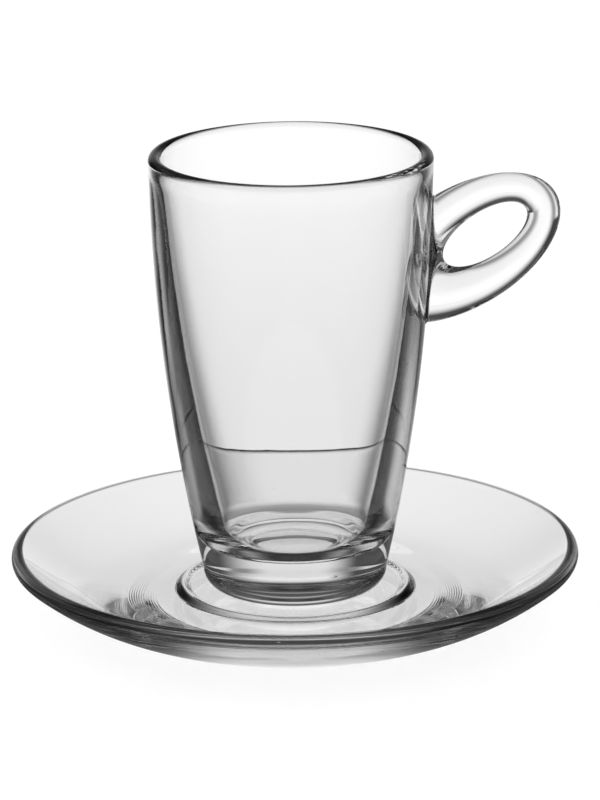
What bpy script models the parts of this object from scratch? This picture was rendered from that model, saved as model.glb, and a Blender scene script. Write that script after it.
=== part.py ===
"""Clear pressed-glass espresso cup with a loop handle, standing in the well of its saucer.

Metres, +Z up. The origin is the centre of the saucer's foot plane and +X points to the handle.
"""
import math

import bmesh
import bpy
from mathutils import Vector

OBJECT_NAME = "espresso_cup_and_saucer"
SEAT_GAP = 0.0003
HANDLE_GAP = 0.0003

# Saucer
SAUCER_RADIUS = 0.056
SAUCER_HEIGHT = 0.0153
SAUCER_EDGE_ROUND = 0.0015
SAUCER_WALL = 0.0034
UNDERSIDE_FOOT_SLOPE = math.radians(14.0)
UNDERSIDE_RIM_SLOPE = math.radians(40.0)
DISH_HEIGHT = 0.0066
DISH_BEND_RADIUS = 0.0390
WELL_RADIUS = 0.0205
WELL_HEIGHT = 0.0070
RIDGE_WIDTH = 0.0036
RIDGE_HEIGHT = 0.0010
SAUCER_FOOT_RADIUS = 0.0265
SAUCER_FOOT_ROUND = 0.0140
SAUCER_STEPS = 64

# Cup body, with heights measured up from the cup's own foot plane
CUP_HEIGHT = 0.0874
CUP_RIM_RADIUS = 0.0275
CUP_BASE_RADIUS = 0.0173
RIM_FLARE = 0.0003
RIM_ROUND = 0.0013
WALL_AT_RIM = 0.0026
WALL_AT_FLOOR = 0.0062
FLOOR_THICKNESS = 0.0087
FLOOR_CORNER_RADIUS = 0.0045
BASE_EDGE_RADIUS = 0.0026
CUP_STEPS = 56

# Loop handle: an oval in the XZ plane with a smaller oval finger hole
LOOP_LENGTH = 0.0421
LOOP_WIDTH = 0.0236
LOOP_SLANT = math.radians(31.7)
LOOP_DROP = 0.0194
LOOP_SETOUT = 0.0062
HOLE_LENGTH = 0.0189
HOLE_WIDTH = 0.0090
HOLE_SLANT = math.radians(34.8)
HOLE_SHIFT = 0.0051
HANDLE_THICKNESS = 0.0054
ROOT_THICKNESS = 0.0084
LOOP_STEPS = 44
SECTION_STEPS = 16


def arc(centre, radius, start, end, count):
    """Points (radius, height) on a circular arc between two angles in degrees."""
    points = []
    for i in range(count + 1):
        angle = math.radians(start + (end - start) * i / count)
        points.append((centre[0] + radius * math.cos(angle), centre[1] + radius * math.sin(angle)))
    return points


def sweep(start, start_slope, end, end_slope, count):
    """Points on a smooth curve between two points with a set slope at each end."""
    reach = (end[0] - start[0]) / 3.0
    near = (start[0] + reach, start[1] + reach * math.tan(start_slope))
    far = (end[0] - reach, end[1] - reach * math.tan(end_slope))
    points = []
    for i in range(count + 1):
        t = i / count
        weights = ((1 - t) ** 3, 3 * t * (1 - t) ** 2, 3 * t * t * (1 - t), t ** 3)
        points.append(tuple(
            sum(w * p[axis] for w, p in zip(weights, (start, near, far, end))) for axis in (0, 1)
        ))
    return points


def outer_radius(height):
    """Cup's outer wall: a parabola from the base to the rim, with a slight flare at the lip."""
    share = height / CUP_HEIGHT
    wall = CUP_RIM_RADIUS - (CUP_RIM_RADIUS - CUP_BASE_RADIUS) * (1.0 - share) ** 2
    return wall + RIM_FLARE * max(share, 0.0) ** 12


def inner_radius(height):
    """Cup's inner wall: the outer wall less a glass thickness that grows towards the floor."""
    share = (height - FLOOR_THICKNESS) / (CUP_HEIGHT - FLOOR_THICKNESS)
    wall = WALL_AT_FLOOR + (WALL_AT_RIM - WALL_AT_FLOOR) * share
    return outer_radius(height) - wall


def cup_profile():
    """Half section from the inner floor's centre, up the inside, over the lip and down to the foot."""
    lip_height = CUP_HEIGHT - RIM_ROUND
    corner_height = FLOOR_THICKNESS + FLOOR_CORNER_RADIUS
    span = FLOOR_CORNER_RADIUS / 2.0
    lean = math.degrees(math.atan(
        (inner_radius(corner_height + span) - inner_radius(corner_height - span)) / (2.0 * span)
    ))
    corner_centre = (
        inner_radius(corner_height) - FLOOR_CORNER_RADIUS * math.cos(math.radians(lean)),
        corner_height,
    )
    points = [(0.0, FLOOR_THICKNESS)]
    points += arc(corner_centre, FLOOR_CORNER_RADIUS, -90.0, -lean, 5)
    inside_start = points[-1][1]
    inside_steps = 9
    for i in range(1, inside_steps):
        height = inside_start + (lip_height - inside_start) * i / inside_steps
        points.append((inner_radius(height), height))
    lip_outer = outer_radius(lip_height)
    lip_centre = (lip_outer - RIM_ROUND, lip_height)
    points += arc(lip_centre, RIM_ROUND, 180.0, 0.0, 6)
    edge_height = BASE_EDGE_RADIUS
    outside_steps = 12
    for i in range(1, outside_steps):
        height = lip_height + (edge_height - lip_height) * i / outside_steps
        points.append((outer_radius(height), height))
    edge_centre = (outer_radius(edge_height) - BASE_EDGE_RADIUS, edge_height)
    points += arc(edge_centre, BASE_EDGE_RADIUS, 0.0, -90.0, 5)
    points.append((0.0, 0.0))
    return points


def offset(points, start, end):
    """Points beside a curve, on its left, at a distance that goes from start to end along it."""
    last = len(points) - 1
    moved = []
    for i, (radius, height) in enumerate(points):
        before = points[max(i - 1, 0)]
        after = points[min(i + 1, last)]
        along = Vector((after[0] - before[0], after[1] - before[1])).normalized()
        distance = start + (end - start) * i / last
        moved.append((radius - distance * along.y, height + distance * along.x))
    return moved


def ridge():
    """The raised ring round the well, which ends a little lower, on the dish."""
    steps = 6
    points = []
    for i in range(steps):
        share = i / steps
        lift = RIDGE_HEIGHT * math.sin(math.pi * share) ** 2
        fall = (WELL_HEIGHT - DISH_HEIGHT) * (0.5 - 0.5 * math.cos(math.pi * share))
        points.append((WELL_RADIUS + RIDGE_WIDTH * share, WELL_HEIGHT + lift - fall))
    return points


def saucer_profile():
    """Half section from the well's centre, out over the dish, round the rim and back to the flat foot.

    The dish is level beside the ridge, then bends up and runs beside the underside at an even wall.
    """
    rim_angle = math.degrees(UNDERSIDE_RIM_SLOPE)
    foot_angle = math.degrees(UNDERSIDE_FOOT_SLOPE)
    edge_centre = (SAUCER_RADIUS - SAUCER_EDGE_ROUND, SAUCER_HEIGHT - SAUCER_EDGE_ROUND)
    edge = arc(edge_centre, SAUCER_EDGE_ROUND, 90.0 + rim_angle, -90.0 + rim_angle, 7)
    foot = arc((SAUCER_FOOT_RADIUS, SAUCER_FOOT_ROUND), SAUCER_FOOT_ROUND, -90.0, -90.0 + foot_angle, 3)
    guide_steps = 60
    stride = 6
    underside = sweep(foot[-1], UNDERSIDE_FOOT_SLOPE, edge[-1], UNDERSIDE_RIM_SLOPE, guide_steps)
    inside = offset(underside, SAUCER_WALL, 2.0 * SAUCER_EDGE_ROUND)
    slope = [point for point in inside if point[0] > DISH_BEND_RADIUS]
    bend_slope = math.atan2(slope[1][1] - slope[0][1], slope[1][0] - slope[0][0])
    dish_start = (WELL_RADIUS + RIDGE_WIDTH, DISH_HEIGHT)
    points = [(0.0, WELL_HEIGHT)]
    points += ridge()
    points += sweep(dish_start, 0.0, slope[0], bend_slope, 7)
    points += slope[stride:-1:stride]
    points += edge
    points += underside[-1 - stride:0:-stride]
    points += foot[::-1]
    points.append((0.0, 0.0))
    return points


def wall_cutter_profile():
    """Half section of the whole cup's outside, enlarged by the gap left for the handle."""
    count = 24
    points = [(0.0, CUP_HEIGHT)]
    for i in range(count + 1):
        height = CUP_HEIGHT * (1.0 - i / count)
        points.append((outer_radius(height) + HANDLE_GAP, height))
    points.append((0.0, 0.0))
    return points


def glass(name, colour, roughness):
    material = bpy.data.materials.new(name)
    material.use_nodes = True
    shader = material.node_tree.nodes["Principled BSDF"]
    shader.inputs["Base Color"].default_value = (*colour, 1.0)
    shader.inputs["Roughness"].default_value = roughness
    shader.inputs["Metallic"].default_value = 0.0
    shader.inputs["IOR"].default_value = 1.51
    shader.inputs["Transmission Weight"].default_value = 1.0
    return material


def collection(name):
    group = bpy.data.collections.new(name)
    bpy.context.scene.collection.children.link(group)
    return group


def turned(name, profile, steps, group):
    """A solid of revolution: the profile as an edge chain with a Screw modifier."""
    mesh = bpy.data.meshes.new(name)
    vertices = [(radius, 0.0, height) for radius, height in profile]
    edges = [(i, i + 1) for i in range(len(vertices) - 1)]
    mesh.from_pydata(vertices, edges, [])
    piece = bpy.data.objects.new(name, mesh)
    group.objects.link(piece)
    screw = piece.modifiers.new("Turn", "SCREW")
    screw.axis = "Z"
    screw.steps = steps
    screw.render_steps = steps
    screw.use_merge_vertices = True
    screw.merge_threshold = 0.00001
    screw.use_smooth_shade = True
    return piece


def oval_point(centre, length, width, slant, angle):
    """Point of a slanted oval in the XZ plane. Angle 0 is its far end from the cup."""
    along = 0.5 * length * math.cos(angle)
    across = 0.5 * width * math.sin(angle)
    return centre + Vector((
        along * math.cos(slant) - across * math.sin(slant),
        0.0,
        along * math.sin(slant) + across * math.cos(slant),
    ))


def handle_loop(name, group):
    """A ring lofted between two ovals, with a section that thickens towards the cup."""
    loop_height = CUP_HEIGHT - LOOP_DROP
    loop_centre = Vector((outer_radius(loop_height) + LOOP_SETOUT, 0.0, loop_height))
    shift = Vector((math.cos(LOOP_SLANT), 0.0, math.sin(LOOP_SLANT))) * HOLE_SHIFT
    bm = bmesh.new()
    rings = []
    for i in range(LOOP_STEPS):
        angle = 2.0 * math.pi * i / LOOP_STEPS
        rim = oval_point(loop_centre, LOOP_LENGTH, LOOP_WIDTH, LOOP_SLANT, angle)
        hole = oval_point(loop_centre + shift, HOLE_LENGTH, HOLE_WIDTH, HOLE_SLANT, angle)
        nearness = 0.5 - 0.5 * math.cos(angle)
        depth = 0.5 * (HANDLE_THICKNESS + (ROOT_THICKNESS - HANDLE_THICKNESS) * nearness)
        ring = []
        for j in range(SECTION_STEPS):
            turn = 2.0 * math.pi * j / SECTION_STEPS
            point = (rim + hole) / 2.0 + (rim - hole) / 2.0 * math.cos(turn)
            ring.append(bm.verts.new(point + Vector((0.0, depth * math.sin(turn), 0.0))))
        rings.append(ring)
    for i in range(LOOP_STEPS):
        here = rings[i]
        after = rings[(i + 1) % LOOP_STEPS]
        for j in range(SECTION_STEPS):
            k = (j + 1) % SECTION_STEPS
            bm.faces.new((here[j], after[j], after[k], here[k]))
    bmesh.ops.recalc_face_normals(bm, faces=bm.faces)
    mesh = bpy.data.meshes.new(name)
    bm.to_mesh(mesh)
    bm.free()
    mesh.shade_smooth()
    piece = bpy.data.objects.new(name, mesh)
    group.objects.link(piece)
    return piece


def cut(piece, cutter):
    cutter.hide_render = True
    cutter.display_type = "WIRE"
    boolean = piece.modifiers.new("Meet the wall", "BOOLEAN")
    boolean.operation = "DIFFERENCE"
    boolean.solver = "EXACT"
    boolean.object = cutter


def main():
    for item in list(bpy.data.objects):
        bpy.data.objects.remove(item, do_unlink=True)
    parts = collection(OBJECT_NAME)
    cutters = collection("cutters")

    saucer = turned("saucer", saucer_profile(), SAUCER_STEPS, parts)
    saucer.data.materials.append(glass("saucer_glass", (0.93, 0.94, 0.94), 0.02))

    lift = bpy.data.objects.new("cup_lift_axis", None)
    lift.empty_display_size = CUP_HEIGHT / 2.0
    lift.location = (0.0, 0.0, WELL_HEIGHT + SEAT_GAP)
    parts.objects.link(lift)

    body = turned("cup_body", cup_profile(), CUP_STEPS, parts)
    body.data.materials.append(glass("cup_glass", (0.94, 0.95, 0.95), 0.02))
    body.parent = lift

    handle = handle_loop("cup_handle", parts)
    handle.data.materials.append(glass("handle_glass", (0.94, 0.95, 0.95), 0.02))
    handle.parent = lift
    wall = turned("handle_wall_cutter", wall_cutter_profile(), CUP_STEPS, cutters)
    wall.parent = lift
    cut(handle, wall)


main()
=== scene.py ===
import math

import bmesh
import bpy
from mathutils import Matrix, Vector


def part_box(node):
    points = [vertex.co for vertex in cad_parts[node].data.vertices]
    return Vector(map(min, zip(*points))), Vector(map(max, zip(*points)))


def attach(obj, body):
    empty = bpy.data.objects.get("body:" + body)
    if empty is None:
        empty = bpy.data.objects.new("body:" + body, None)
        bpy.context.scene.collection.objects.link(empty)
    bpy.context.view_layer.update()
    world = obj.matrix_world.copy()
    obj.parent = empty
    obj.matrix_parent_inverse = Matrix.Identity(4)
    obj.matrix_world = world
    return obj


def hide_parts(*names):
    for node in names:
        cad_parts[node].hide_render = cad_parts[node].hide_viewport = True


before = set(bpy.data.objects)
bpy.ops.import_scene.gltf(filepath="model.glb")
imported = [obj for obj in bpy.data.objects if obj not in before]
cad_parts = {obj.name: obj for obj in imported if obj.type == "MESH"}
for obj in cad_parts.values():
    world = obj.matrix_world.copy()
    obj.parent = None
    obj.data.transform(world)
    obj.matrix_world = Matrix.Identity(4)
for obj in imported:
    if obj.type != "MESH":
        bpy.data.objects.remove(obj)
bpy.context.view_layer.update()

scene = bpy.context.scene

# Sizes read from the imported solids
saucer_low, saucer_high = (Vector(corner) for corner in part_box("saucer"))
cup_low, cup_high = (Vector(corner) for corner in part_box("cup_body"))
SAUCER_RADIUS = saucer_high.x
SAUCER_HEIGHT = saucer_high.z
CUP_FOOT = cup_low.z
CUP_HEIGHT = cup_high.z - cup_low.z

# Saucer section
SAUCER_EDGE_ROUND = 0.0015
SAUCER_WALL = 0.0034
DISH_START_SLOPE = 0.0
DISH_START = 0.0066
DISH_BEND_RADIUS = 0.0440
UNDERSIDE_FOOT_SLOPE = math.radians(14.0)
UNDERSIDE_RIM_SLOPE = math.radians(40.0)
WELL_RADIUS = 0.0205
WELL_HEIGHT = 0.0070
WELL_MIDDLE_SHARE = 0.4
RIDGE_WIDTH = 0.0036
RIDGE_HEIGHT = 0.0010
SAUCER_FOOT_RADIUS = 0.0265
SAUCER_FOOT_ROUND = 0.0140
TURNING_START = 0.0274
TURNING_END = 0.0334
TURNING_PITCH = 0.0005
TURNING_DEPTH = 0.00002
RIDGE_STEPS = 32
SAUCER_EDGE_STEPS = 32
SAUCER_FOOT_STEPS = 24
UNDERSIDE_STEPS = 400
DISH_STEPS = 64
DISH_STRIDE = 4

# Cup section
RIM_FLARE = 0.0003
RIM_FLARE_POWER = 40
CUP_RIM_RADIUS = 0.0275
CUP_BASE_RADIUS = 0.0173
RIM_ROUND = 0.0013
WALL_AT_RIM = 0.0021
WALL_AT_FLOOR = 0.0060
FLOOR_THICKNESS = 0.0087
FLOOR_FLAT_RADIUS = 0.0088
FLOOR_CORNER_HEIGHT = 0.0066
CORNER_FULLNESS = 0.55
BASE_EDGE_RADIUS = 0.0036
PUSH_UP_RADIUS = 0.0080
PUSH_UP_EDGE = 0.0032
PUSH_UP_DEPTH = 0.0006
FLOOR_RINGS = (0.0096, 0.0126)
FLOOR_RING_WIDTH = 0.0020
FLOOR_RING_HEIGHT = 0.00012
FLOOR_STEPS = 64
CORNER_STEPS = 96
INSIDE_STEPS = 40
LIP_STEPS = 28
OUTSIDE_STEPS = 120
BASE_EDGE_STEPS = 32
PUSH_UP_STEPS = 24

# Handle
LOOP_LENGTH = 0.0421
LOOP_WIDTH = 0.0236
LOOP_SLANT = math.radians(31.7)
LOOP_DROP = 0.0194
LOOP_SETOUT = 0.0062
HOLE_LENGTH = 0.0189
HOLE_WIDTH = 0.0090
HOLE_SLANT = math.radians(34.8)
HOLE_SHIFT = 0.0051
HANDLE_THICKNESS = 0.0054
ROOT_THICKNESS = 0.0084
ROOT_FILLET = 0.0005
ROOT_SWELL_SHARE = 0.75
ROOT_SINK = 0.0012
ROOT_CREASE = math.radians(30.0)
LEAST_SPREAD = 0.001
LOOP_STEPS = 480
SECTION_STEPS = 96
CORE_STEPS = 64

TURN_STEPS = 256

# Glass
GLASS_BOUNCES = 48
GLASS_IOR = 1.51
SHADOW_TINT = (0.985, 0.985, 0.985, 1.0)
ABSORPTION_COLOR = (0.90, 0.90, 0.90, 1.0)
ABSORPTION_DENSITY = 20.0
WAVE_SCALE = 75.0
WAVE_HEIGHT = 0.00004
WAVE_DETAIL = 1.0
SKIN_SCALE = 420.0
SKIN_HEIGHT = 0.0000016
PIT_SCALE = 150.0
PIT_EDGE = (0.015, 0.036)
PIT_DEPTH = 0.00003

# Camera, from the outlines of both rims in the photograph
CAMERA_DISTANCE = 0.880
CAMERA_HEIGHT = 0.3065
CAMERA_PITCH = math.radians(16.56)
CAMERA_YAW = math.radians(0.085)
CAMERA_ROLL = math.radians(-0.6)
CAMERA_LENS = 210.7
CAMERA_CLIP_START = 0.01

# The floor as the camera sees it, and the plain light of the world
FLOOR_HALF_SIZE = 4.0
FLOOR_DROP = 0.0002
FLOOR_COLOR = (0.95, 0.95, 0.95, 1.0)
AMBIENT = 1.08
BOUNCE_LEVEL = 1.45

# The studio as rays from the glass see it, by height: deep floor, table, wall, upper wall, top.
# Bearings are measured from the view axis, behind the object.
DEEP_TO_TABLE = (-70.0, -36.0)
TABLE_TO_WALL = (-13.5, -9.5)
WALL_TO_UPPER = (3.0, 24.0)
UPPER_TO_TOP = (45.0, 65.0)
WHITE_START = 11.0
WHITE_END_RIGHT = 42.0
WHITE_END_LEFT = 30.0

# Table, for rays that were reflected in the glass
TABLE_ROOM = (38.0, 56.0)
TABLE_FLAG_LEVEL = 0.12
TABLE_ROOM_LEVEL = 0.55

# Table, for rays that went through the glass without a reflection
CLEAR_WHITE = (10.0, 25.0)
CLEAR_ROOM = (29.0, 39.0)
CLEAR_FLAG_LEVEL = 0.34
CLEAR_ROOM_LEVEL = 0.90

WALL_BACK = (70.0, 88.0)
WALL_FLAG_LEVEL = 0.05
WALL_BACK_LEVEL = 0.55
DEEP_LEVEL = 0.04
DEEP_CLEAR_LEVEL = 0.82
DEEP_CROSSINGS = 4.5
UPPER_LEVEL = 0.07
UPPER_SIDE_LEVEL = 0.04
UPPER_BEARING = (12.0, 35.0)
UPPER_ROOM = (70.0, 88.0)
UPPER_ROOM_LEVEL = 0.25
TOP_LEVEL = 0.22

# Reflections off the outside of the glass
OUTSIDE_LEVEL = 0.50
OUTSIDE_HEIGHT = (-8.0, 2.0)

# Rays reflected several times inside the glass
TRAPPED_TURNS = (1.5, 4.0)
TRAPPED_BEARING = (8.0, 30.0)
TRAPPED_ROOM = (50.0, 62.0)
TRAPPED_FRONT = (105.0, 120.0)
TRAPPED_FRONT_LEVEL = 0.08
TRAPPED_ROOM_LEVEL = 1.60
TRAPPED_SIDE_LEVEL = 0.03
TRAPPED_LONG = (9.0, 16.0)
TRAPPED_LONG_LEVEL = 0.20

# Painted shade on the floor as rays from the glass see it, by distance from the axis: darker near the
# object, brighter far off
PAINTED_SHADE_REACH = (0.09, 0.36)
NEAR_PAINTED_SHADE_LEVEL = 0.93
FAR_LEVEL = 1.09

# Painted shade on the floor seen after one reflection
REFLECTED_FAR = (0.11, 0.16)
REFLECTED_LEFT = (0.42, 0.85)
REFLECTED_RIGHT = (0.80, 0.50)
REFLECTED_EDGE_LEFT = (32.0, 48.0)
REFLECTED_EDGE_RIGHT = (44.0, 60.0)
REFLECTED_EDGE_LEVEL = 0.08
REFLECTED_REACH = (0.042, 0.050)
# Painted shadow on the floor under the saucer's sides
UNDER_REACH = (0.045, 0.055)
UNDER_SIDES = (0.010, 0.030)
UNDER_LEVEL = 0.12

# Painted shade on the floor on the left, seen through the cup's wall and the saucer
SIDE_CROSSINGS = 4.5
SIDE_START = (0.042, 0.052)
SIDE_END = (0.085, 0.130)
SIDE_WHITE = (6.0, 25.0)
SIDE_ROOM = (38.0, 56.0)
SIDE_LEVEL = 0.70

# Painted light and shade on the floor under the saucer, seen through the cup's base: a painted light ring
# and a painted darker ring round it
GLOW_CROSSINGS = 5.5
GLOW_START = (0.0285, 0.0300)
GLOW_END = (0.0335, 0.0346)
GLOW_LEVEL = 1.35
GLOOM_END = (0.0400, 0.0490)
GLOOM_LEVEL = 0.52

# Counts of reflections are whole numbers: a limit between 0 and 1, and a margin for equal counts
HALF_COUNT = 0.5
COUNT_MARGIN = 0.1


def eased(share):
    """0 to 1 along half a cosine wave."""
    return 0.5 - 0.5 * math.cos(math.pi * share)


def arc(centre, radius, start, end, count):
    points = []
    for i in range(count + 1):
        angle = math.radians(start + (end - start) * i / count)
        points.append((centre[0] + radius * math.cos(angle), centre[1] + radius * math.sin(angle)))
    return points


def bezier(start, near, far, end, count):
    points = []
    for i in range(count + 1):
        t = i / count
        weights = ((1 - t) ** 3, 3 * t * (1 - t) ** 2, 3 * t * t * (1 - t), t ** 3)
        points.append(tuple(
            sum(w * p[axis] for w, p in zip(weights, (start, near, far, end))) for axis in (0, 1)
        ))
    return points


def sweep(start, start_slope, end, end_slope, count):
    """A smooth line that leaves one point and meets the other at given slopes."""
    reach = (end[0] - start[0]) / 3.0
    near = (start[0] + reach, start[1] + reach * math.tan(start_slope))
    far = (end[0] - reach, end[1] - reach * math.tan(end_slope))
    return bezier(start, near, far, end, count)


def outer_radius(height):
    share = height / CUP_HEIGHT
    wall = CUP_RIM_RADIUS - (CUP_RIM_RADIUS - CUP_BASE_RADIUS) * (1.0 - share) ** 2
    return wall + RIM_FLARE * max(share, 0.0) ** RIM_FLARE_POWER


def inner_radius(height):
    share = (height - FLOOR_THICKNESS) / (CUP_HEIGHT - FLOOR_THICKNESS)
    wall = WALL_AT_FLOOR + (WALL_AT_RIM - WALL_AT_FLOOR) * share
    bead = (2.0 * RIM_ROUND - WALL_AT_RIM) * (height / CUP_HEIGHT) ** RIM_FLARE_POWER
    return outer_radius(height) - wall - bead


def floor_corner():
    """The soft corner between the cup's floor and its inside wall."""
    top = FLOOR_THICKNESS + FLOOR_CORNER_HEIGHT
    lean = (inner_radius(top + RIM_ROUND) - inner_radius(top)) / RIM_ROUND
    rise = CORNER_FULLNESS * FLOOR_CORNER_HEIGHT
    reach = CORNER_FULLNESS * (inner_radius(top) - FLOOR_FLAT_RADIUS)
    return bezier(
        (FLOOR_FLAT_RADIUS, FLOOR_THICKNESS),
        (FLOOR_FLAT_RADIUS + reach, FLOOR_THICKNESS),
        (inner_radius(top) - lean * rise, top - rise),
        (inner_radius(top), top),
        CORNER_STEPS,
    )


def ring_lift(radius):
    """The faint rings that pressing leaves on the cup's floor."""
    lift = 0.0
    for centre in FLOOR_RINGS:
        share = (radius - centre) / FLOOR_RING_WIDTH
        if abs(share) < 0.5:
            lift += FLOOR_RING_HEIGHT * math.cos(math.pi * share) ** 2
    return lift


def cup_floor():
    """The inside floor with its rings, from the axis to the top of its corner."""
    plain = [(FLOOR_FLAT_RADIUS * i / FLOOR_STEPS, FLOOR_THICKNESS) for i in range(FLOOR_STEPS)]
    plain += floor_corner()
    return [(radius, height + ring_lift(radius)) for radius, height in plain]


def wall_line(radius_at, start, end, count):
    """Points of a wall between two heights, without its ends."""
    heights = [start + (end - start) * i / count for i in range(1, count)]
    return [(radius_at(height), height) for height in heights]


def push_up():
    """The shallow recess under the cup, from its outer edge to the axis."""
    points = []
    for i in range(PUSH_UP_STEPS + 1):
        share = i / PUSH_UP_STEPS
        points.append((PUSH_UP_RADIUS + PUSH_UP_EDGE * (1.0 - share), PUSH_UP_DEPTH * eased(share)))
    points.append((0.0, PUSH_UP_DEPTH))
    return points


def cup_profile():
    lip_height = CUP_HEIGHT - RIM_ROUND
    lip_centre = (outer_radius(lip_height) - RIM_ROUND, lip_height)
    edge_height = BASE_EDGE_RADIUS
    edge_centre = (outer_radius(edge_height) - BASE_EDGE_RADIUS, edge_height)
    points = cup_floor()
    points += wall_line(inner_radius, points[-1][1], lip_height, INSIDE_STEPS)
    points += arc(lip_centre, RIM_ROUND, 180.0, 0.0, LIP_STEPS)
    points += wall_line(outer_radius, lip_height, edge_height, OUTSIDE_STEPS)
    points += arc(edge_centre, BASE_EDGE_RADIUS, 0.0, -90.0, BASE_EDGE_STEPS)
    points += push_up()
    return points


def well():
    """The flat well and the raised ring round it, up to the start of the dish."""
    middle = WELL_MIDDLE_SHARE * WELL_RADIUS
    points = [(0.0, WELL_HEIGHT), (middle, WELL_HEIGHT), (WELL_RADIUS, WELL_HEIGHT)]
    for i in range(1, RIDGE_STEPS):
        share = i / RIDGE_STEPS
        fall = (WELL_HEIGHT - DISH_START) * eased(share)
        lift = RIDGE_HEIGHT * math.sin(math.pi * share) ** 2
        points.append((WELL_RADIUS + RIDGE_WIDTH * share, WELL_HEIGHT + lift - fall))
    return points


def saucer_edge():
    centre = (SAUCER_RADIUS - SAUCER_EDGE_ROUND, SAUCER_HEIGHT - SAUCER_EDGE_ROUND)
    angle = math.degrees(UNDERSIDE_RIM_SLOPE)
    return arc(centre, SAUCER_EDGE_ROUND, 90.0 + angle, -90.0 + angle, SAUCER_EDGE_STEPS)


def saucer_underside(rim):
    """The line from the edge of the flat foot to the rim."""
    centre = (SAUCER_FOOT_RADIUS, SAUCER_FOOT_ROUND)
    end = -90.0 + math.degrees(UNDERSIDE_FOOT_SLOPE)
    points = arc(centre, SAUCER_FOOT_ROUND, -90.0, end, SAUCER_FOOT_STEPS)
    points += sweep(points[-1], UNDERSIDE_FOOT_SLOPE, rim, UNDERSIDE_RIM_SLOPE, UNDERSIDE_STEPS)[1:]
    return points


def dish(underside):
    """The dish: a bend out of the ring, then a line beside the underside."""
    beside = offset(underside, SAUCER_WALL, 2.0 * SAUCER_EDGE_ROUND)
    inside = [point for point in beside if point[0] > DISH_BEND_RADIUS]
    bend_slope = math.atan2(inside[1][1] - inside[0][1], inside[1][0] - inside[0][0])
    start = (WELL_RADIUS + RIDGE_WIDTH, DISH_START)
    points = sweep(start, DISH_START_SLOPE, inside[0], bend_slope, DISH_STEPS)
    return points + inside[1:-1:DISH_STRIDE]


def saucer_profile():
    edge = saucer_edge()
    underside = saucer_underside(edge[-1])
    points = well() + dish(underside) + edge
    points += turned_lines(underside[-2::-1])
    points.append((0.0, 0.0))
    return points


def offset(points, start, end):
    """The line on the left of the points' way, at a distance that goes from start to end."""
    moved = []
    last = len(points) - 1
    for i, (x, y) in enumerate(points):
        before = points[max(i - 1, 0)]
        after = points[min(i + 1, last)]
        along = Vector((after[0] - before[0], after[1] - before[1])).normalized()
        distance = start + (end - start) * i / last
        moved.append((x - distance * along.y, y + distance * along.x))
    return moved


def turned_lines(underside):
    """The underside with fine turned lines round the foot."""
    points = []
    for radius, height in underside:
        if TURNING_START < radius < TURNING_END:
            turns = (radius - TURNING_START) / TURNING_PITCH
            height += TURNING_DEPTH * math.sin(math.pi * turns) ** 2
        points.append((radius, height))
    return points


def link(name, mesh):
    piece = bpy.data.objects.new(name, mesh)
    scene.collection.objects.link(piece)
    return piece


def finished(name, bm):
    """The mesh as a smooth-shaded object."""
    mesh = bpy.data.meshes.new(name)
    bm.to_mesh(mesh)
    bm.free()
    mesh.shade_smooth()
    return link(name, mesh)


def turned_ring(bm, radius, height):
    if radius == 0.0:
        return [bm.verts.new((0.0, 0.0, height))]
    ring = []
    for j in range(TURN_STEPS):
        angle = 2.0 * math.pi * j / TURN_STEPS
        ring.append(bm.verts.new((radius * math.cos(angle), radius * math.sin(angle), height)))
    return ring


def bridge(bm, here, after):
    """Faces between two rings, either of which may be a single point."""
    count = max(len(here), len(after))
    for j in range(count):
        k = (j + 1) % count
        if len(here) == 1:
            bm.faces.new((here[0], after[j], after[k]))
        elif len(after) == 1:
            bm.faces.new((here[j], after[0], here[k]))
        else:
            bm.faces.new((here[j], after[j], after[k], here[k]))


def turned(name, profile, base=0.0):
    """A solid of revolution about Z."""
    bm = bmesh.new()
    rings = [turned_ring(bm, radius, base + height) for radius, height in profile]
    for here, after in zip(rings, rings[1:]):
        bridge(bm, here, after)
    bmesh.ops.recalc_face_normals(bm, faces=bm.faces)
    return finished(name, bm)


def oval_point(centre, length, width, slant, angle):
    along = 0.5 * length * math.cos(angle)
    across = 0.5 * width * math.sin(angle)
    return centre + Vector((
        along * math.cos(slant) - across * math.sin(slant),
        0.0,
        along * math.sin(slant) + across * math.cos(slant),
    ))


def handle_section(bm, loop_centre, hole_centre, angle):
    """One oval section of the loop, between its outer edge and the finger hole."""
    rim = oval_point(loop_centre, LOOP_LENGTH, LOOP_WIDTH, LOOP_SLANT, angle)
    hole = oval_point(hole_centre, HOLE_LENGTH, HOLE_WIDTH, HOLE_SLANT, angle)
    nearness = 0.5 - 0.5 * math.cos(angle)
    depth = 0.5 * (HANDLE_THICKNESS + (ROOT_THICKNESS - HANDLE_THICKNESS) * nearness)
    half = (rim - hole) / 2.0
    ring = []
    for j in range(SECTION_STEPS):
        turn = 2.0 * math.pi * j / SECTION_STEPS
        sideways = Vector((0.0, depth * math.sin(turn), 0.0))
        ring.append(bm.verts.new((rim + hole) / 2.0 + half * math.cos(turn) + sideways))
    return ring


def root_move(vert):
    """How far a point near the cup's wall swells along the wall, for the fillet at the roots."""
    distance = math.hypot(vert.co.x, vert.co.y) - outer_radius(vert.co.z - CUP_FOOT)
    if distance >= ROOT_FILLET:
        return None
    share = max(distance, 0.0) / ROOT_FILLET
    swell = ROOT_FILLET * (1.0 - math.sqrt(1.0 - (1.0 - share) ** 2))
    out = vert.normal.copy()
    radial = Vector((vert.co.x, vert.co.y, 0.0)).normalized()
    out -= radial * out.dot(radial)
    if out.length <= LEAST_SPREAD:
        return None
    return out.normalized() * min(swell, ROOT_SWELL_SHARE * ROOT_FILLET)


def fillet_roots(bm):
    bm.normal_update()
    moves = [(vert, root_move(vert)) for vert in bm.verts]
    for vert, move in moves:
        if move is not None:
            vert.co += move


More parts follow.
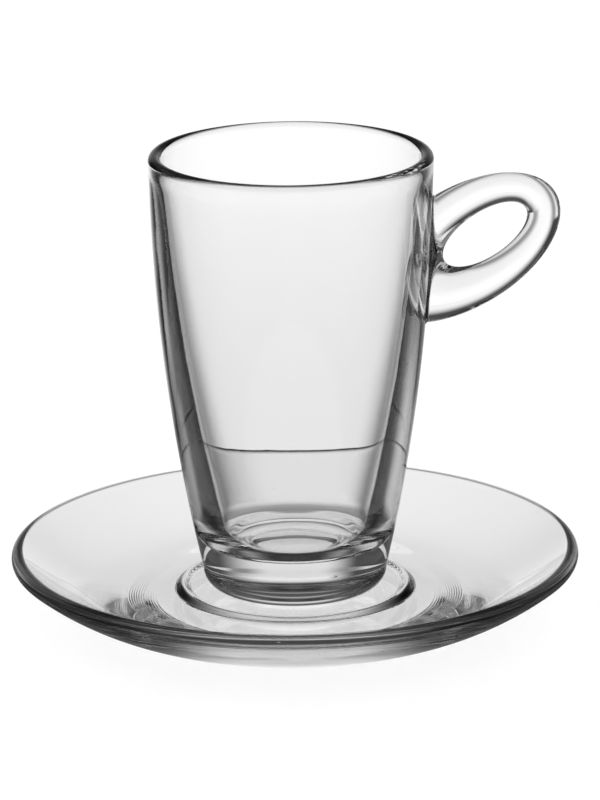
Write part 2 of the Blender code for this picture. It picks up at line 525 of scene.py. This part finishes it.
def handle_loop(name):
    loop_height = CUP_HEIGHT - LOOP_DROP
    loop_centre = Vector((outer_radius(loop_height) + LOOP_SETOUT, 0.0, CUP_FOOT + loop_height))
    shift = Vector((math.cos(LOOP_SLANT), 0.0, math.sin(LOOP_SLANT))) * HOLE_SHIFT
    bm = bmesh.new()
    angles = [2.0 * math.pi * i / LOOP_STEPS for i in range(LOOP_STEPS)]
    rings = [handle_section(bm, loop_centre, loop_centre + shift, angle) for angle in angles]
    for here, after in zip(rings, rings[1:] + rings[:1]):
        bridge(bm, here, after)
    bmesh.ops.recalc_face_normals(bm, faces=bm.faces)
    fillet_roots(bm)
    return finished(name, bm)


def boolean(piece, other, operation):
    modifier = piece.modifiers.new(operation.title(), "BOOLEAN")
    modifier.operation = operation
    modifier.solver = "EXACT"
    modifier.object = other
    graph = bpy.context.evaluated_depsgraph_get()
    mesh = bpy.data.meshes.new_from_object(piece.evaluated_get(graph))
    piece.modifiers.clear()
    old = piece.data
    piece.data = mesh
    bpy.data.meshes.remove(old)
    bpy.data.objects.remove(other, do_unlink=True)


def cup_core():
    """The cup's outer form, a little smaller, that trims the handle's roots."""
    core = [(0.0, CUP_HEIGHT)]
    for i in range(CORE_STEPS + 1):
        height = CUP_HEIGHT * (1.0 - i / CORE_STEPS)
        core.append((outer_radius(height) - ROOT_SINK, height))
    core.append((0.0, 0.0))
    return turned("core", core, CUP_FOOT)


def cup_piece():
    """Cup and handle as one unbroken piece of glass."""
    handle = handle_loop("handle_blank")
    boolean(handle, cup_core(), "DIFFERENCE")
    whole = turned("cup_glass", cup_profile(), CUP_FOOT)
    boolean(whole, handle, "UNION")
    whole.data.shade_smooth()
    whole.data.set_sharp_from_angle(angle=ROOT_CREASE)
    return whole


class Nodes:
    """Short helper for wiring a node tree."""

    def __init__(self, tree):
        self.tree = tree

    def add(self, kind, **settings):
        node = self.tree.nodes.new("ShaderNode" + kind)
        for key, value in settings.items():
            setattr(node, key, value)
        return node

    def put(self, socket, value):
        if hasattr(value, "links"):
            self.tree.links.new(value, socket)
        else:
            socket.default_value = value

    def math(self, operation, *values):
        node = self.add("Math", operation=operation)
        for socket, value in zip(node.inputs, values):
            self.put(socket, value)
        return node.outputs[0]

    def times(self, first, *others):
        for other in others:
            first = self.math("MULTIPLY", first, other)
        return first

    def ramp(self, value, low, high, at_low=0.0, at_high=1.0):
        """A smooth step between two values."""
        node = self.add("MapRange", interpolation_type="SMOOTHSTEP")
        for name, item in (
            ("Value", value), ("From Min", low), ("From Max", high), ("To Min", at_low), ("To Max", at_high)
        ):
            self.put(node.inputs[name], item)
        return node.outputs["Result"]

    def mixed(self, factor, first, second):
        """The first value where the factor is 0, the second where it is 1."""
        share = self.math("MULTIPLY", factor, self.math("SUBTRACT", second, first))
        return self.math("ADD", first, share)

    def band(self, value, start, end):
        """1 between two soft edges, 0 outside them."""
        return self.times(self.ramp(value, *start), self.ramp(value, *end, 1.0, 0.0))

    def around(self, bearing, white, room, flag_level, room_level):
        """Brightness by bearing: white behind the object, a darker flag on each side, the room beyond."""
        sweep_level = self.ramp(bearing, *white, 1.0, flag_level)
        return self.math("MAXIMUM", sweep_level, self.ramp(bearing, *room, flag_level, room_level))

    def bearing(self, x, y):
        """The angle from +Y, to either side."""
        return self.math("DEGREES", self.math("ABSOLUTE", self.math("ARCTAN2", x, y)))

    def split(self, vector):
        node = self.add("SeparateXYZ")
        self.put(node.inputs[0], vector)
        return node.outputs


def pressed_surface(n):
    """Normals of fire-polished pressed glass: slow waves, a fine skin and a few tiny pits."""
    place = n.add("TexCoord").outputs["Object"]
    waves = n.add("TexNoise")
    skin = n.add("TexNoise")
    pits = n.add("TexVoronoi")
    for texture, scale in ((waves, WAVE_SCALE), (skin, SKIN_SCALE), (pits, PIT_SCALE)):
        n.put(texture.inputs["Vector"], place)
        texture.inputs["Scale"].default_value = scale
    waves.inputs["Detail"].default_value = WAVE_DETAIL
    height = n.math("MULTIPLY", waves.outputs[0], WAVE_HEIGHT)
    height = n.math("MULTIPLY_ADD", skin.outputs[0], SKIN_HEIGHT, height)
    height = n.math("SUBTRACT", height, n.ramp(pits.outputs["Distance"], *PIT_EDGE, PIT_DEPTH, 0.0))
    bump = n.add("Bump")
    bump.inputs["Distance"].default_value = 1.0
    n.put(bump.inputs["Height"], height)
    return bump.outputs[0]


def glass(name):
    """Clear glass that lets light through to the floor without a dark shadow."""
    material = bpy.data.materials.new(name)
    material.use_nodes = True
    n = Nodes(material.node_tree)
    shader = material.node_tree.nodes["Principled BSDF"]
    output = material.node_tree.nodes["Material Output"]
    shader.inputs["Base Color"].default_value = (1.0, 1.0, 1.0, 1.0)
    shader.inputs["Roughness"].default_value = 0.0
    shader.inputs["IOR"].default_value = GLASS_IOR
    shader.inputs["Transmission Weight"].default_value = 1.0
    n.put(shader.inputs["Normal"], pressed_surface(n))
    clear = n.add("BsdfTransparent")
    clear.inputs["Color"].default_value = SHADOW_TINT
    mix = n.add("MixShader")
    n.put(mix.inputs[0], n.add("LightPath").outputs["Is Shadow Ray"])
    n.put(mix.inputs[1], shader.outputs[0])
    n.put(mix.inputs[2], clear.outputs[0])
    n.put(output.inputs["Surface"], mix.outputs[0])
    absorption = n.add("VolumeAbsorption")
    absorption.inputs["Color"].default_value = ABSORPTION_COLOR
    absorption.inputs["Density"].default_value = ABSORPTION_DENSITY
    n.put(output.inputs["Volume"], absorption.outputs[0])
    return material


def from_glass(n, ray):
    """1 for rays that the glass reflected or let through."""
    return n.math("MAXIMUM", ray["Is Glossy Ray"], ray["Is Transmission Ray"])


def low_levels(n, ray, bearing, height, left):
    """Deep floor, table and wall."""
    white = (WHITE_START, n.mixed(left, WHITE_END_RIGHT, WHITE_END_LEFT))
    straight = n.math("LESS_THAN", ray["Glossy Depth"], HALF_COUNT)
    flagged = n.around(bearing, white, TABLE_ROOM, TABLE_FLAG_LEVEL, TABLE_ROOM_LEVEL)
    clear = n.around(bearing, CLEAR_WHITE, CLEAR_ROOM, CLEAR_FLAG_LEVEL, CLEAR_ROOM_LEVEL)
    table = n.mixed(straight, flagged, clear)
    wall = n.around(bearing, white, WALL_BACK, WALL_FLAG_LEVEL, WALL_BACK_LEVEL)
    level = n.mixed(n.ramp(height, *TABLE_TO_WALL), table, wall)
    few = n.math("LESS_THAN", ray["Transmission Depth"], DEEP_CROSSINGS)
    deep = n.times(level, n.mixed(n.times(straight, few), DEEP_LEVEL, DEEP_CLEAR_LEVEL))
    return n.mixed(n.ramp(height, *DEEP_TO_TABLE, 1.0, 0.0), level, deep)


def upper_level(n, bearing):
    return n.math(
        "MAXIMUM",
        n.ramp(bearing, *UPPER_BEARING, UPPER_LEVEL, UPPER_SIDE_LEVEL),
        n.ramp(bearing, *UPPER_ROOM, UPPER_SIDE_LEVEL, UPPER_ROOM_LEVEL),
    )


def trapped_level(n, ray, bearing):
    """What rays reflected several times in the glass see of the studio."""
    turns = ray["Glossy Depth"]
    side = n.around(bearing, TRAPPED_BEARING, TRAPPED_ROOM, TRAPPED_SIDE_LEVEL, TRAPPED_ROOM_LEVEL)
    side = n.times(side, n.ramp(bearing, *TRAPPED_FRONT, 1.0, TRAPPED_FRONT_LEVEL))
    level = n.mixed(n.ramp(turns, *TRAPPED_TURNS), 1.0, side)
    return n.times(level, n.ramp(turns, *TRAPPED_LONG, 1.0, TRAPPED_LONG_LEVEL))


def outside_level(n, ray, height):
    """What the outside of the glass reflects of the studio."""
    outside = n.math("LESS_THAN", ray["Transmission Depth"], HALF_COUNT)
    outside = n.times(outside, ray["Is Glossy Ray"], n.ramp(height, *OUTSIDE_HEIGHT))
    return n.mixed(outside, 1.0, OUTSIDE_LEVEL)


def studio_strength(n):
    ray = n.add("LightPath").outputs
    x, y, z = n.split(n.add("TexCoord").outputs["Generated"])
    height = n.math("DEGREES", n.math("ARCSINE", z))
    bearing = n.bearing(x, y)
    level = low_levels(n, ray, bearing, height, n.math("LESS_THAN", x, 0.0))
    level = n.mixed(n.ramp(height, *WALL_TO_UPPER), level, upper_level(n, bearing))
    level = n.mixed(n.ramp(height, *UPPER_TO_TOP), level, TOP_LEVEL)
    seen = n.times(level, trapped_level(n, ray, bearing), outside_level(n, ray, height))
    bounced = n.math("GREATER_THAN", ray["Diffuse Depth"], HALF_COUNT)
    through = n.mixed(bounced, seen, BOUNCE_LEVEL)
    plain = n.mixed(ray["Is Camera Ray"], AMBIENT, 1.0)
    return n.mixed(from_glass(n, ray), plain, through)


def studio_world():
    """White to the camera, plain light on the floor, and a flagged studio to the glass."""
    world = bpy.data.worlds.new("studio")
    scene.world = world
    world.use_nodes = True
    n = Nodes(world.node_tree)
    world.node_tree.nodes.clear()
    output = n.add("OutputWorld")
    background = n.add("Background")
    background.inputs["Color"].default_value = (1.0, 1.0, 1.0, 1.0)
    n.put(background.inputs["Strength"], studio_strength(n))
    n.put(output.inputs[0], background.outputs[0])


def reflected_shade(n, once, distance, bearing, left):
    """Painted shade on the floor seen after one reflection: darker to the sides."""
    along = n.mixed(
        left,
        n.ramp(distance, *REFLECTED_FAR, *REFLECTED_RIGHT),
        n.ramp(distance, *REFLECTED_FAR, *REFLECTED_LEFT),
    )
    edge = [n.mixed(left, *ends) for ends in zip(REFLECTED_EDGE_RIGHT, REFLECTED_EDGE_LEFT)]
    mirrored = n.ramp(bearing, *edge, along, REFLECTED_EDGE_LEVEL)
    return n.mixed(n.times(once, n.ramp(distance, *REFLECTED_REACH)), 1.0, mirrored)


def under_shade(n, once, distance, x):
    """Painted shadow on the floor under the saucer, seen after one reflection: darker to the sides."""
    under = n.times(once, n.ramp(distance, *UNDER_REACH, 1.0, 0.0))
    sides = n.ramp(n.math("ABSOLUTE", x), *UNDER_SIDES, 1.0, UNDER_LEVEL)
    return n.mixed(under, 1.0, sides)


def side_shade(n, crossings, distance, bearing, left):
    """Painted shade on the floor on the left, seen through wall and saucer: a little darker."""
    beside = n.math("GREATER_THAN", crossings, SIDE_CROSSINGS)
    beside = n.times(beside, left, n.band(distance, SIDE_START, SIDE_END))
    return n.mixed(beside, 1.0, n.around(bearing, SIDE_WHITE, SIDE_ROOM, SIDE_LEVEL, 1.0))


def base_painted_light_and_shade(n, crossings, distance):
    """Painted light and shade on the floor under the saucer, seen through the base: a painted light ring
    and a painted darker one.
    """
    below = n.math("GREATER_THAN", crossings, GLOW_CROSSINGS)
    glow = n.times(below, n.band(distance, GLOW_START, GLOW_END))
    gloom = n.times(below, n.band(distance, GLOW_END, GLOOM_END))
    return n.times(n.mixed(glow, 1.0, GLOW_LEVEL), n.mixed(gloom, 1.0, GLOOM_LEVEL))


def painted_floor_level(n, ray):
    """How much of the studio the floor lets through to rays from the glass: painted shade and painted light
    by position and by the ray's crossings and reflections.
    """
    x, y, _ = n.split(n.add("NewGeometry").outputs["Position"])
    distance = n.math("SQRT", n.math("ADD", n.times(x, x), n.times(y, y)))
    bearing = n.bearing(x, y)
    left = n.math("LESS_THAN", x, 0.0)
    once = n.math("COMPARE", ray["Glossy Depth"], 1.0, COUNT_MARGIN)
    crossings = ray["Transmission Depth"]
    return n.times(
        # painted shade near the object, brighter far off
        n.ramp(distance, *PAINTED_SHADE_REACH, NEAR_PAINTED_SHADE_LEVEL, FAR_LEVEL),
        reflected_shade(n, once, distance, bearing, left),
        under_shade(n, once, distance, x),
        side_shade(n, crossings, distance, bearing, left),
        base_painted_light_and_shade(n, crossings, distance),
    )


def floor_material():
    """Matt white to the camera and to light, clear with a level to rays from the glass; that level is
    painted shade and painted light.
    """
    material = bpy.data.materials.new("white_floor_painted_shade")
    material.use_nodes = True
    n = Nodes(material.node_tree)
    material.node_tree.nodes.clear()
    output = n.add("OutputMaterial")
    mix = n.add("MixShader")
    matt = n.add("BsdfDiffuse")
    matt.inputs["Color"].default_value = FLOOR_COLOR
    clear = n.add("BsdfTransparent")
    ray = n.add("LightPath").outputs
    # painted shade and painted light, seen only by rays from the glass
    n.put(clear.inputs["Color"], painted_floor_level(n, ray))
    direct = n.math("LESS_THAN", ray["Diffuse Depth"], HALF_COUNT)
    n.put(mix.inputs[0], n.times(from_glass(n, ray), direct))
    n.put(mix.inputs[1], matt.outputs[0])
    n.put(mix.inputs[2], clear.outputs[0])
    n.put(output.inputs["Surface"], mix.outputs[0])
    return material


def floor():
    mesh = bpy.data.meshes.new("floor")
    bm = bmesh.new()
    bmesh.ops.create_grid(bm, x_segments=1, y_segments=1, size=FLOOR_HALF_SIZE)
    bm.to_mesh(mesh)
    bm.free()
    mesh.materials.append(floor_material())
    piece = link("floor", mesh)
    piece.location.z = -FLOOR_DROP


def camera():
    data = bpy.data.cameras.new("camera")
    data.lens = CAMERA_LENS
    data.clip_start = CAMERA_CLIP_START
    item = bpy.data.objects.new("camera", data)
    scene.collection.objects.link(item)
    turn = (
        Matrix.Rotation(-CAMERA_YAW, 4, "Z")
        @ Matrix.Rotation(math.pi / 2 - CAMERA_PITCH, 4, "X")
        @ Matrix.Rotation(CAMERA_ROLL, 4, "Z")
    )
    item.matrix_world = Matrix.Translation((0.0, -CAMERA_DISTANCE, CAMERA_HEIGHT)) @ turn
    scene.camera = item


cup = cup_piece()
cup.data.materials.clear()
cup.data.materials.append(glass("cup_glass"))
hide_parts("cup_body", "cup_handle")
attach(cup, "cup")

saucer = turned("saucer_glass", saucer_profile())
saucer.data.materials.append(glass("saucer_glass"))
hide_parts("saucer")
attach(saucer, "saucer")

studio_world()
floor()
camera()
scene.view_settings.view_transform = "Standard"
scene.cycles.max_bounces = GLASS_BOUNCES
scene.cycles.transmission_bounces = GLASS_BOUNCES
scene.cycles.glossy_bounces = GLASS_BOUNCES
